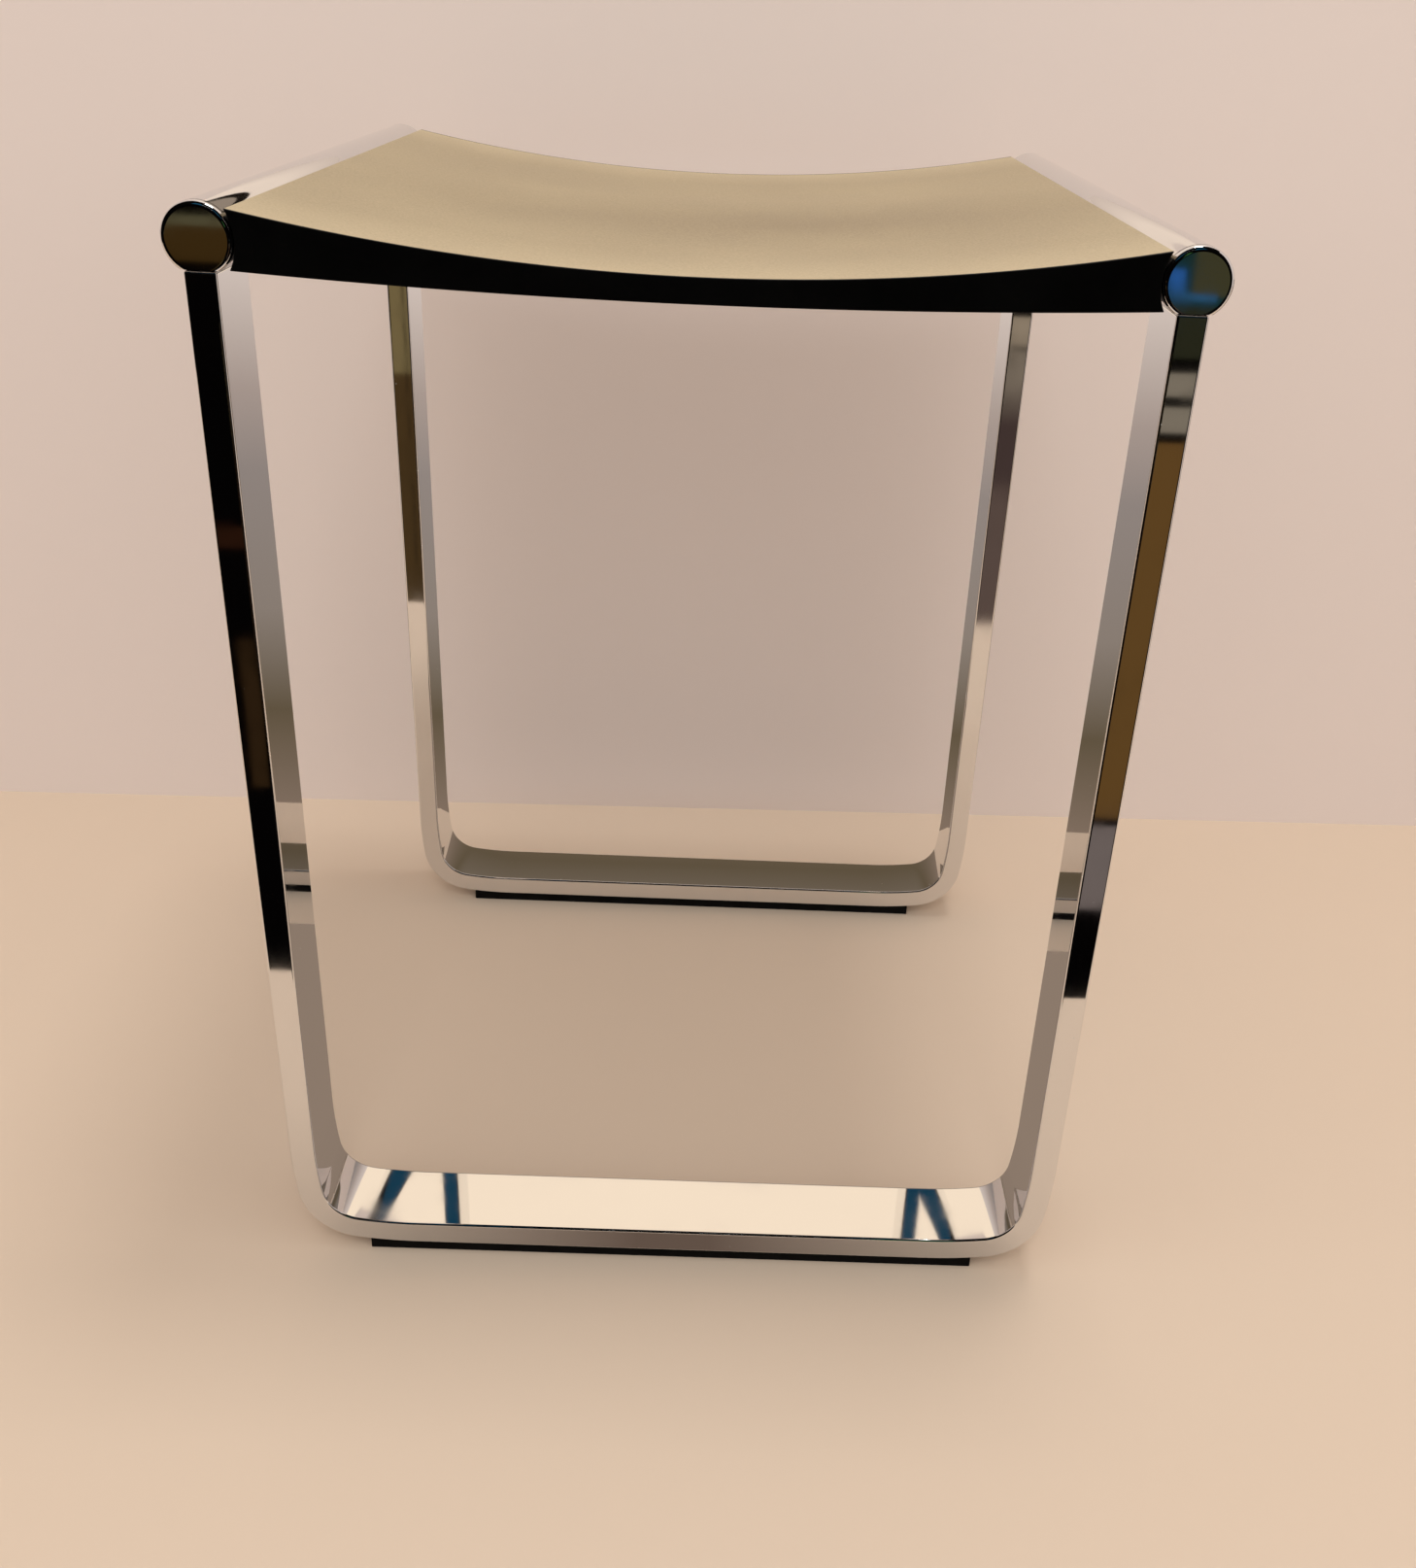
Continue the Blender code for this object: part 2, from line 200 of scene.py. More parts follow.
def bend_arcs():
    """A bend as arcs of radius, first heading, last heading and steps. The bar starts and stops turning
    gently, and the tight part between puts the middle of the bend where a plain bend has it."""
    quarter = math.pi / 2
    plain_radius = BEND_INSIDE_RADIUS + BAR_THICKNESS / 2
    middle_rise = plain_radius * (1 - math.cos(quarter / 2))
    run_in_rise = RUN_IN_RADIUS * (1 - math.cos(RUN_IN_ANGLE))
    tight_radius = (middle_rise - run_in_rise) / (math.cos(RUN_IN_ANGLE) - math.cos(quarter / 2))
    return (
        (RUN_IN_RADIUS, 0, RUN_IN_ANGLE, RUN_IN_STEPS),
        (tight_radius, RUN_IN_ANGLE, quarter - RUN_IN_ANGLE, BEND_STEPS),
        (RUN_IN_RADIUS, quarter - RUN_IN_ANGLE, quarter, RUN_IN_STEPS),
    )


def bar_stations(low, high):
    """Down the left leg, round two bends and up the right leg, along the middle of the bar."""
    bend = [(0, Vector((0, 0, 0)))]
    for radius, start, stop, steps in bend_arcs():
        arc_start = bend[-1][1]
        for step in range(1, steps + 1):
            heading = start + (stop - start) * step / steps
            chord = Vector((math.sin(heading) - math.sin(start), 0, math.cos(start) - math.cos(heading)))
            bend.append((heading, arc_start + radius * chord))
    leg_x = high.x - BAR_THICKNESS / 2
    bar_y = (low.y + high.y) / 2
    bend_start = Vector((leg_x - bend[-1][1].x, bar_y, low.z + BAR_THICKNESS / 2))
    right = [(bend_start + place, Vector((math.sin(heading), 0, -math.cos(heading))))
             for heading, place in bend]
    right.append((Vector((leg_x, bar_y, high.z)), Vector((1, 0, 0))))
    mirror = Vector((-1, 1, 1))
    left = [(place * mirror, outward * mirror) for place, outward in reversed(right)]
    return [(place, outward, Vector((0, 1, 0))) for place, outward in left + right]


chromium = polished_chromium()
for end in ("front", "rear"):
    bar_low, bar_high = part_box(f"{end}_leg_frame")
    bar_mesh = swept_bar(f"{end}_bent_bar", bar_stations(bar_low, bar_high), BAR_THICKNESS / 2,
                         (bar_high.y - bar_low.y) / 2, BAR_EDGE_RADIUS, BAR_END_EASING)
    add_piece(f"{end}_bent_bar", bar_mesh, chromium, f"{end}_leg_frame")


# Glide strips
# A black rubber strip is bonded under the flat run of each frame, so that the plate doesn't meet the
# floor. It is cut from extruded stock, with its edges only just broken.
STRIP_EDGE_RADIUS = 0.6 * MM
STRIP_END_EASING = 0.4 * MM


def extruded_rubber():
    """Black rubber, extruded: dull, with fine die lines along the strip and a bloom of dust."""
    die_line_spacing = 1.1 * MM
    die_line_height = 0.1 * MM
    die_line_stretch = (0.02, 1.0, 1.0)
    bloom_size = 9 * MM
    material, tree, shader = new_material("extruded_black_rubber")
    shader.inputs["Specular IOR Level"].default_value = 0.15
    place = add_node(tree, "ShaderNodeTexCoord").outputs["Object"]
    across = add_node(tree, "ShaderNodeMapping", {"Vector": place, "Scale": die_line_stretch})
    lines = add_noise(tree, across.outputs["Vector"], die_line_spacing, 2.0)
    bump = add_node(tree, "ShaderNodeBump", {"Height": lines, "Strength": 0.5, "Distance": die_line_height})
    bloom = add_noise(tree, place, bloom_size, 6.0)
    colour = add_node(tree, "ShaderNodeValToRGB", {"Fac": bloom})
    set_ramp(colour, (0.35, "#040404"), (0.75, "#0E0D0C"))
    roughness = add_node(tree, "ShaderNodeMapRange", {"Value": bloom, "To Min": 0.7, "To Max": 0.95})
    tree.links.new(colour.outputs["Color"], shader.inputs["Base Color"])
    tree.links.new(roughness.outputs["Result"], shader.inputs["Roughness"])
    tree.links.new(bump.outputs["Normal"], shader.inputs["Normal"])
    return material


rubber = extruded_rubber()
for end in ("front", "rear"):
    strip_low, strip_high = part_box(f"{end}_glide_strip")
    strip_middle = (strip_low + strip_high) / 2
    strip_half = (strip_high - strip_low) / 2
    strip_ends = [strip_middle + Vector((side * strip_half.x, 0, 0)) for side in (-1, 1)]
    strip_stations = [(place, Vector((0, 1, 0)), Vector((0, 0, 1))) for place in strip_ends]
    strip_mesh = swept_bar(f"{end}_rubber_strip", strip_stations, strip_half.y, strip_half.z,
                           STRIP_EDGE_RADIUS, STRIP_END_EASING)
    add_piece(f"{end}_rubber_strip", strip_mesh, rubber, f"{end}_glide_strip")


# Rails
# Two thick-walled steel tubes run front to back over the leg tops, polished and plated as the bars
# are. A flat is milled in the underside at each end, where the leg top is fixed.
RAIL_WALL = 4 * MM
RAIL_END_EASING = 0.3 * MM
RAIL_FLAT_DEPTH = 2.2 * MM
FIT_GAP = 0.3 * MM
CUT_MARGIN = 5 * MM
TURNED_SEGMENTS = 128
MERGE_DISTANCE = 0.001 * MM
SHARP_ANGLE = math.radians(28)


def turned(name, profile, closed):
    """A profile of radius and depth points, turned about the Y axis."""
    bm = bmesh.new()
    points = [bm.verts.new((radius, depth, 0)) for radius, depth in profile]
    followers = points[1:] + points[:1] if closed else points[1:]
    edges = [bm.edges.new(pair) for pair in zip(points, followers)]
    bmesh.ops.spin(bm, geom=points + edges, cent=(0, 0, 0), axis=(0, 1, 0), angle=2 * math.pi,
                   steps=TURNED_SEGMENTS, use_merge=True)
    bmesh.ops.remove_doubles(bm, verts=bm.verts, dist=MERGE_DISTANCE)
    bmesh.ops.recalc_face_normals(bm, faces=bm.faces)
    return new_mesh(name, bm)


def block(low, high):
    """A rectangular block between two corners, for cutting."""
    bm = bmesh.new()
    size = Matrix.Diagonal((*(high - low), 1))
    bmesh.ops.create_cube(bm, size=1, matrix=Matrix.Translation((low + high) / 2) @ size)
    return new_mesh("block", bm)


def worked(mesh, *steps):
    """The mesh after modifiers, each given as its kind and its settings."""
    holder = bpy.data.objects.new("worked", mesh)
    bpy.context.scene.collection.objects.link(holder)
    for kind, settings in steps:
        modifier = holder.modifiers.new(kind, kind)
        for name, value in settings.items():
            setattr(modifier, name, value)
    depsgraph = bpy.context.evaluated_depsgraph_get()
    result = bpy.data.meshes.new_from_object(holder.evaluated_get(depsgraph))
    bpy.data.objects.remove(holder)
    return result


def carved(mesh, *cutters):
    """The mesh with other meshes cut out of it."""
    tools = [bpy.data.objects.new("cutter", cutter) for cutter in cutters]
    for tool in tools:
        bpy.context.scene.collection.objects.link(tool)
    result = worked(mesh, *(("BOOLEAN", {"object": tool, "solver": "EXACT"}) for tool in tools))
    for tool in tools:
        bpy.data.objects.remove(tool)
    return result


def shaded(mesh):
    """Smooth over curves and sharp at edges, with flat faces shaded flat."""
    mesh.shade_smooth()
    mesh.set_sharp_from_angle(angle=SHARP_ANGLE)
    return worked(mesh, ("WEIGHTED_NORMAL", {"keep_sharp": True, "weight": 100}))


def axis_and_radius(low, high):
    """The middle and the radius of a round piece that runs in depth, from the corners of its box."""
    return (low + high) / 2, (high.x - low.x) / 2


def leg_flat(centre, radius, low_y, high_y):
    """What the mill takes off under a rail between two depths."""
    flat_z = centre.z - radius + RAIL_FLAT_DEPTH
    reach = radius + CUT_MARGIN
    return block(Vector((centre.x - reach, low_y, flat_z - reach)),
                 Vector((centre.x + reach, high_y, flat_z)))


flat_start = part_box("rear_leg_frame")[0].y - FIT_GAP
for side in ("left", "right"):
    rail_low, rail_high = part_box(f"{side}_seat_rail")
    rail_centre, rail_radius = axis_and_radius(rail_low, rail_high)
    rail_half = (rail_high.y - rail_low.y) / 2
    bore_radius = rail_radius - RAIL_WALL
    rail_profile = [
        (rail_radius - RAIL_END_EASING, -rail_half),
        (rail_radius, -rail_half + RAIL_END_EASING),
        (rail_radius, rail_half - RAIL_END_EASING),
        (rail_radius - RAIL_END_EASING, rail_half),
        (bore_radius, rail_half),
        (bore_radius, -rail_half),
    ]
    rail_mesh = turned(f"{side}_rail_tube", rail_profile, closed=True)
    rail_mesh.transform(Matrix.Translation(rail_centre))
    flat_stop = rail_high.y + CUT_MARGIN
    rail_mesh = carved(rail_mesh, leg_flat(rail_centre, rail_radius, flat_start, flat_stop),
                       leg_flat(rail_centre, rail_radius, -flat_stop, -flat_start))
    add_piece(f"{side}_rail_tube", shaded(rail_mesh), chromium, f"{side}_seat_rail")


# Rail plugs
# A turned steel plug closes each rail end: a flat face runs into a round rim, and a spigot as long as
# the leg is wide sits in the bore. It is polished and plated like the rail.
PLUG_FLANGE = 3 * MM
PLUG_RIM_RADIUS = 1.8 * MM
PLUG_LEAD_IN = 1 * MM
PLUG_FACE_MARGIN = 0.1 * MM
RIM_STEPS = 12


def arc(centre, radius, start, stop, steps):
    """Points on a circle, from one angle to another."""
    angles = [start + (stop - start) * step / steps for step in range(steps + 1)]
    return [(centre[0] + radius * math.cos(a), centre[1] + radius * math.sin(a)) for a in angles]


def plug_profile(radius, length):
    """From the middle of the face round the rim and along the spigot, with depth into the rail. A ring
    just inside the rim keeps the face's reflection flat."""
    rim_x = radius - PLUG_RIM_RADIUS
    rim = arc((rim_x, PLUG_RIM_RADIUS), PLUG_RIM_RADIUS, -math.pi / 2, 0, RIM_STEPS)
    spigot = radius - RAIL_WALL - FIT_GAP
    return [
        (0, 0),
        (rim_x - PLUG_FACE_MARGIN, 0),
        *rim,
        (radius, PLUG_FLANGE),
        (spigot, PLUG_FLANGE),
        (spigot, length - PLUG_LEAD_IN),
        (spigot - PLUG_LEAD_IN, length),
        (0, length),
    ]


for end in ("front", "rear"):
    for side in ("left", "right"):
        plug_low, plug_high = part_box(f"{end}_{side}_rail_plug")
        rail_centre, rail_radius = axis_and_radius(*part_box(f"{side}_seat_rail"))
        plug_length = plug_high.y - plug_low.y
        plug_mesh = turned(f"{end}_{side}_plug", plug_profile(rail_radius, plug_length), closed=False)
        face_y, plug_turn = (plug_low.y, 0) if end == "front" else (plug_high.y, math.pi)
        plug_place = Matrix.Translation((rail_centre.x, face_y, rail_centre.z))
        plug_mesh.transform(plug_place @ Matrix.Rotation(plug_turn, 4, "Z"))
        plug_mesh = carved(plug_mesh, leg_flat(rail_centre, rail_radius, plug_low.y - CUT_MARGIN,
                                               plug_high.y + CUT_MARGIN))
        add_piece(f"{end}_{side}_plug", shaded(plug_mesh), chromium, f"{end}_{side}_rail_plug")


# Dowels, seat pins and core plate
# Bright drawn steel rod joins legs to rails and seat to rails, and a cold-rolled plate stiffens the
# seat. None of it shows on the finished stool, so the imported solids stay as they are.
def drawn_steel():
    """Bright steel as drawn or rolled: fine lines that blur the reflection, and a trace of oil."""
    line_spacing = 0.5 * MM
    line_height = 0.02 * MM
    line_stretch = (1.0, 1.0, 0.03)
    oil_size = 12 * MM
    material, tree, shader = new_material("bright_drawn_steel")
    shader.inputs["Metallic"].default_value = 1.0
    place = add_node(tree, "ShaderNodeTexCoord").outputs["Object"]
    along = add_node(tree, "ShaderNodeMapping", {"Vector": place, "Scale": line_stretch})
    lines = add_noise(tree, along.outputs["Vector"], line_spacing, 2.0)
    bump = add_node(tree, "ShaderNodeBump", {"Height": lines, "Strength": 0.4, "Distance": line_height})
    oil = add_noise(tree, place, oil_size, 4.0)
    colour = add_node(tree, "ShaderNodeValToRGB", {"Fac": oil})
    set_ramp(colour, (0.3, "#A6A6A8"), (0.7, "#BDBDBE"))
    roughness = add_node(tree, "ShaderNodeMapRange", {"Value": oil, "To Min": 0.25, "To Max": 0.42})
    tree.links.new(colour.outputs["Color"], shader.inputs["Base Color"])
    tree.links.new(roughness.outputs["Result"], shader.inputs["Roughness"])
    tree.links.new(bump.outputs["Normal"], shader.inputs["Normal"])
    return material


steel = drawn_steel()
for name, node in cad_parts.items():
    if name.endswith(("_dowel", "_pin", "_core_plate")):
        node.data.materials.clear()
        node.data.materials.append(steel)


# Seat body
# A black slab of moulded integral-skin polyurethane lies between the rails: a dished top, a slightly
# sagging underside and hollow ends that go round the rails. Beds in its top take plate and skin.
SEAT_LIP_ABOVE_RAIL_AXIS = 9.8 * MM
SEAT_LIP_BELOW_RAIL_AXIS = 9.6 * MM
SEAT_END_RADIUS = 20 * MM
SEAT_TOP_SAG = 14.8 * MM
SEAT_UNDERSIDE_SAG = 4.2 * MM
SEAT_EDGE_RADIUS = 0.8 * MM
SEAT_EDGE_STEPS = 3
EASED_ANGLE = math.radians(40)
SKIN_THICKNESS = 1.2 * MM
DISH_STEPS = 96
END_STEPS = 24
UNDERSIDE_STEPS = 64


def shallow_arc(half_width, middle_z, radius, steps):
    """A wide arc that is lowest in the middle, from left to right."""
    reach = math.asin(half_width / radius)
    down = 1.5 * math.pi
    return arc((0, middle_z + radius), radius, down - reach, down + reach, steps)


def extruded(name, outline, low_y, high_y):
    """An outline in the XZ plane as a solid between two depths."""
    bm = bmesh.new()
    face = bm.faces.new([bm.verts.new((x, low_y, z)) for x, z in outline])
    pushed = bmesh.ops.extrude_face_region(bm, geom=[face])["geom"]
    moved = [item for item in pushed if isinstance(item, bmesh.types.BMVert)]
    bmesh.ops.translate(bm, verts=moved, vec=(0, high_y - low_y, 0))
    bmesh.ops.recalc_face_normals(bm, faces=bm.faces)
    return new_mesh(name, bm)


def dish_layer(half_width, top_z, bottom_z, radius, low_y, high_y):
    """A layer that follows the dish, between two heights at its middle and two depths, for cutting."""
    top = shallow_arc(half_width, top_z, radius, DISH_STEPS)
    bottom = shallow_arc(half_width, bottom_z, radius, DISH_STEPS)
    return extruded("layer", top + bottom[::-1], low_y, high_y)


def eased(mesh, radius, steps):
    """The mesh with its sharp edges rounded."""
    return worked(mesh, ("BEVEL", {
        "width": radius, "segments": steps, "limit_method": "ANGLE", "angle_limit": EASED_ANGLE}))


def moulded_polyurethane():
    """Black integral skin from a textured mould: satin, with a fine leathery pebble. The pebble is
    drawn about twice its real size, so that it shows."""
    pebble_size = 1.2 * MM
    pebble_height = 0.12 * MM
    flow_size = 40 * MM
    material, tree, shader = new_material("moulded_black_polyurethane")
    shader.inputs["Specular IOR Level"].default_value = 0.14
    place = add_node(tree, "ShaderNodeTexCoord").outputs["Object"]
    pebble = add_node(tree, "ShaderNodeTexVoronoi", {"Vector": place, "Scale": 1 / pebble_size},
                      feature="SMOOTH_F1")
    bump = add_node(tree, "ShaderNodeBump", {
        "Height": pebble.outputs["Distance"], "Strength": 0.35, "Distance": pebble_height})
    flow = add_noise(tree, place, flow_size, 4.0)
    colour = add_node(tree, "ShaderNodeValToRGB", {"Fac": flow})
    set_ramp(colour, (0.3, "#010101"), (0.7, "#050505"))
    roughness = add_node(tree, "ShaderNodeMapRange", {"Value": flow, "To Min": 0.42, "To Max": 0.58})
    tree.links.new(colour.outputs["Color"], shader.inputs["Base Color"])
    tree.links.new(roughness.outputs["Result"], shader.inputs["Roughness"])
    tree.links.new(bump.outputs["Normal"], shader.inputs["Normal"])
    return material


seat_low, seat_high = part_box("seat_body")
core_low, core_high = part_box("seat_core_plate")
skin_low, skin_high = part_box("seat_inlay")
rail_low, rail_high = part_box("right_seat_rail")
rail_axis_z = (rail_low.z + rail_high.z) / 2
seat_end_x = rail_low.x - FIT_GAP + SEAT_END_RADIUS
lip_z = rail_axis_z + SEAT_LIP_ABOVE_RAIL_AXIS
lip_x = seat_end_x - math.sqrt(SEAT_END_RADIUS ** 2 - SEAT_LIP_ABOVE_RAIL_AXIS ** 2)
dish_middle_z = lip_z - SEAT_TOP_SAG
dish_radius = (lip_x ** 2 + SEAT_TOP_SAG ** 2) / (2 * SEAT_TOP_SAG)
seat_end = arc((seat_end_x, rail_axis_z), SEAT_END_RADIUS,
               math.pi - math.asin(SEAT_LIP_ABOVE_RAIL_AXIS / SEAT_END_RADIUS),
               math.pi + math.asin(SEAT_LIP_BELOW_RAIL_AXIS / SEAT_END_RADIUS), END_STEPS)
under_x, under_z = seat_end[-1]
under_radius = (under_x ** 2 + SEAT_UNDERSIDE_SAG ** 2) / (2 * SEAT_UNDERSIDE_SAG)
dish = shallow_arc(lip_x, dish_middle_z, dish_radius, DISH_STEPS)
underside = shallow_arc(under_x, under_z - SEAT_UNDERSIDE_SAG, under_radius, UNDERSIDE_STEPS)
left_end = [(-x, z) for x, z in seat_end]
seat_outline = dish[:-1] + seat_end[:-1] + underside[::-1][:-1] + left_end[::-1][:-1]

skin_bed = dish_layer(lip_x + CUT_MARGIN, dish_middle_z + CUT_MARGIN,
                      dish_middle_z - SKIN_THICKNESS - FIT_GAP,
                      dish_radius, skin_low.y - FIT_GAP, skin_high.y + FIT_GAP)
core_bed = dish_layer(core_high.x + FIT_GAP, dish_middle_z, core_low.z - FIT_GAP,
                      dish_radius, core_low.y - FIT_GAP, core_high.y + FIT_GAP)
seat_mesh = extruded("seat_slab", seat_outline, seat_low.y, seat_high.y)
seat_mesh = carved(eased(seat_mesh, SEAT_EDGE_RADIUS, SEAT_EDGE_STEPS), skin_bed, core_bed)
add_piece("seat_slab", shaded(seat_mesh), moulded_polyurethane(), "seat_body")


# Seat skin
# A thin khaki sheet of grained polyurethane is bonded into the top of the seat, flush with it, inside
# a narrow black rim at front and rear. It runs right to the rails.
SKIN_EDGE_RADIUS = 0.3 * MM
SKIN_EDGE_STEPS = 2


def grained_skin(half_depth):
    """Khaki polyurethane sheet: satin, with a fine grain that shows at a low angle. Its colour has painted
    shade, darker in the middle, and a painted sheen, lighter along its front and rear edges. The grain is
    drawn about twice its real size, so that it shows."""
    grain_size = 0.9 * MM
    grain_height = 0.12 * MM
    mottle_size = 60 * MM
    mottle_share = 0.4
    # Painted shade: an oval in the middle of the sheet is darkened in its colour.
    painted_shade_middle = (35 * MM, -35 * MM, 440 * MM)
    painted_shade_reach = (190 * MM, 85 * MM, 1.0)
    # Painted sheen: the colour grows lighter from here towards the front and rear edges.
    edge_start = 120 * MM
    painted_light_share = 0.4
    darkest = 0.2
    palest = 1.2
    material, tree, shader = new_material("grained_khaki_skin")
    shader.inputs["IOR"].default_value = 1.45
    place = add_node(tree, "ShaderNodeTexCoord").outputs["Object"]
    grain = add_noise(tree, place, grain_size, 3.0)
    bump = add_node(tree, "ShaderNodeBump", {"Height": grain, "Strength": 0.5, "Distance": grain_height})
    mottle = add_noise(tree, place, mottle_size, 2.0)
    # The oval of painted shade in the middle of the seat.
    painted_shade_place = add_node(tree, "ShaderNodeMapping", {
        "Vector": place, "Location": painted_shade_middle, "Scale": painted_shade_reach}, vector_type="TEXTURE")
    painted_shade = add_node(tree, "ShaderNodeTexGradient", {
        "Vector": painted_shade_place.outputs["Vector"]}, gradient_type="SPHERICAL")
    depth = add_node(tree, "ShaderNodeSeparateXYZ", {"Vector": place})
    from_middle = add_node(tree, "ShaderNodeMath", {0: depth.outputs["Y"]}, operation="ABSOLUTE")
    # The painted sheen towards the front and rear edges.
    edge = add_node(tree, "ShaderNodeMapRange", {
        "Value": from_middle.outputs["Value"], "From Min": edge_start, "From Max": half_depth})
    # Painted sheen less painted shade, to be mixed into the colour.
    painted_light = add_node(tree, "ShaderNodeMath", {
        0: edge.outputs["Result"], 1: painted_shade.outputs["Fac"]}, operation="SUBTRACT")
    even = add_node(tree, "ShaderNodeMath", {
        0: mottle, 1: mottle_share, 2: grain}, operation="MULTIPLY_ADD")
    # The painted shade and sheen, at their share, added to the random tone of mottle and grain.
    tone = add_node(tree, "ShaderNodeMath", {
        0: painted_light.outputs["Value"], 1: painted_light_share, 2: even.outputs["Value"]}, operation="MULTIPLY_ADD")
    place_on_ramp = add_node(tree, "ShaderNodeMapRange", {
        "Value": tone.outputs["Value"], "From Min": darkest, "From Max": palest})
    colour = add_node(tree, "ShaderNodeValToRGB", {"Fac": place_on_ramp.outputs["Result"]})
    set_ramp(colour, (0.0, "#938061"), (1.0, "#BFAC89"))
    roughness = add_node(tree, "ShaderNodeMapRange", {"Value": mottle, "To Min": 0.45, "To Max": 0.6})
    tree.links.new(colour.outputs["Color"], shader.inputs["Base Color"])
    tree.links.new(roughness.outputs["Result"], shader.inputs["Roughness"])
    tree.links.new(bump.outputs["Normal"], shader.inputs["Normal"])
    return material


skin_under_lip = SEAT_LIP_ABOVE_RAIL_AXIS - SKIN_THICKNESS
skin_under_x = seat_end_x - math.sqrt(SEAT_END_RADIUS ** 2 - skin_under_lip ** 2)
skin_under = shallow_arc(skin_under_x, dish_middle_z - SKIN_THICKNESS, dish_radius, DISH_STEPS)
skin_mesh = extruded("seat_skin", dish + skin_under[::-1], skin_low.y, skin_high.y)
skin_mesh = eased(skin_mesh, SKIN_EDGE_RADIUS, SKIN_EDGE_STEPS)
add_piece("seat_skin", shaded(skin_mesh), grained_skin(skin_high.y), "seat_inlay")


# Studio
# A pale floor and a pale wall close behind the stool, both seen only from their lit side, so that the
# stool can be looked at from behind and from below. The floor's front part is left out of reflections.
FLOOR_COLOUR = "#DFC9B2"
WALL_COLOUR = "#E8D9D0"
STAGE_SIZE = 6.0
FLOOR_SPLIT_Y = -390 * MM
WALL_Y = 270 * MM
WALL_TURN = math.radians(1.65)


def one_sided_board(name, colour):
    """Matt board that lets light through from behind."""
    material, tree, shader = new_material(name)
    shader.inputs["Base Color"].default_value = linear(colour)
    shader.inputs["Roughness"].default_value = 0.9
    shader.inputs["Specular IOR Level"].default_value = 0.1
    clear = add_node(tree, "ShaderNodeBsdfTransparent")
    behind = add_node(tree, "ShaderNodeNewGeometry").outputs["Backfacing"]
    mix = add_node(tree, "ShaderNodeMixShader", {
        0: behind, 1: shader.outputs["BSDF"], 2: clear.outputs["BSDF"]})
    tree.links.new(mix.outputs["Shader"], tree.nodes["Material Output"].inputs["Surface"])
    return material


def add_board(name, width, height, place, material):
    """A flat board of the stage, facing up before it is placed."""
    bm = bmesh.new()
    bmesh.ops.create_grid(bm, x_segments=1, y_segments=1, size=0.5)
    mesh = new_mesh(name, bm)
    mesh.transform(place @ Matrix.Diagonal((width, height, 1, 1)))
    mesh.materials.append(material)
    board = bpy.data.objects.new(name, mesh)
    bpy.context.scene.collection.objects.link(board)
    return board


stage_edge = STAGE_SIZE / 2
upright = Matrix.Rotation(math.pi / 2, 4, "X")
wall_place = (Matrix.Translation((0, WALL_Y, 0)) @ Matrix.Rotation(WALL_TURN, 4, "Z")
              @ Matrix.Translation((0, 0, stage_edge)) @ upright)
floor_board = one_sided_board("pale_floor_board", FLOOR_COLOUR)
add_board("floor", STAGE_SIZE, stage_edge - FLOOR_SPLIT_Y,
          Matrix.Translation((0, (stage_edge + FLOOR_SPLIT_Y) / 2, 0)), floor_board)
front_floor = add_board("front_floor", STAGE_SIZE, stage_edge + FLOOR_SPLIT_Y,
                        Matrix.Translation((0, (FLOOR_SPLIT_Y - stage_edge) / 2, 0)), floor_board)
front_floor.visible_glossy = False
add_board("wall", STAGE_SIZE, STAGE_SIZE, wall_place, one_sided_board("pale_wall_board", WALL_COLOUR))


# Cards
# Polished metal shows the room, so cards that only reflections see stand round the stool, placed in
# millimetres: a dark room in front, colour where each leg and plug looks, and panels at wall and floor.
ROOM_ACROSS = (-2600, 2600)
ROOM_FRONT = -2600
ROOM_BACK = 250
ROOM_FOOT = -2800
ROOM_HEIGHT = 2900
ROOM_SIDE = 2000
RIGHT_SIDE_BACK = -1000
OVERHEAD_DEPTH = -1000
WALL_CARD_DEPTH = 255
FLOOR_CARD_HEIGHT = 0.2
CARD_STEP = 2
DARK_ROOM_TONE = "#040303"
DARK_ABOVE_TONE = "#080706"
DARK_WALL_TONE = "#15100C"
LEFT_FRONT_LEG_SEES = (-1038, -928)
RIGHT_FRONT_LEG_SEES = (830, 940)
LEFT_REAR_LEG_SEES = (-800, -690)
RIGHT_REAR_LEG_SEES = (620, 730)


def card_finish(name, tones, strength, fade):
    """Card that keeps its tone whatever light falls on it: one tone, or several from foot to head with
    the share of the height where each is. Its ends fade out over a share of its width."""
    material, tree, _ = new_material(name)
    on_card = add_node(tree, "ShaderNodeTexCoord").outputs["Generated"]
    place = add_node(tree, "ShaderNodeSeparateXYZ", {"Vector": on_card})
    glow = add_node(tree, "ShaderNodeEmission", {"Strength": strength})
    if isinstance(tones, str):
        glow.inputs["Color"].default_value = linear(tones)
    else:
        grading = add_node(tree, "ShaderNodeValToRGB", {"Fac": place.outputs["Z"]})
        set_ramp(grading, *tones)
        tree.links.new(grading.outputs["Color"], glow.inputs["Color"])
    surface = glow.outputs["Emission"]
    if fade:
        solid = add_node(tree, "ShaderNodeValToRGB", {"Fac": place.outputs["X"]})
        set_ramp(solid, (0.0, "#000000"), (fade, "#FFFFFF"), (1 - fade, "#FFFFFF"), (1.0, "#000000"))
        clear = add_node(tree, "ShaderNodeBsdfTransparent")
        surface = add_node(tree, "ShaderNodeMixShader", {
            0: solid.outputs["Color"], 1: clear.outputs["BSDF"], 2: surface}).outputs["Shader"]
    tree.links.new(surface, tree.nodes["Material Output"].inputs["Surface"])
    return material


def add_card(name, width, height, place, tones, strength=1.0, fade=0.0):
    """A card that only reflections see."""
    card = add_board(name, width, height, place, card_finish(name, tones, strength, fade))
    card.visible_camera = False
    card.visible_diffuse = False
    card.visible_transmission = False
    card.visible_shadow = False


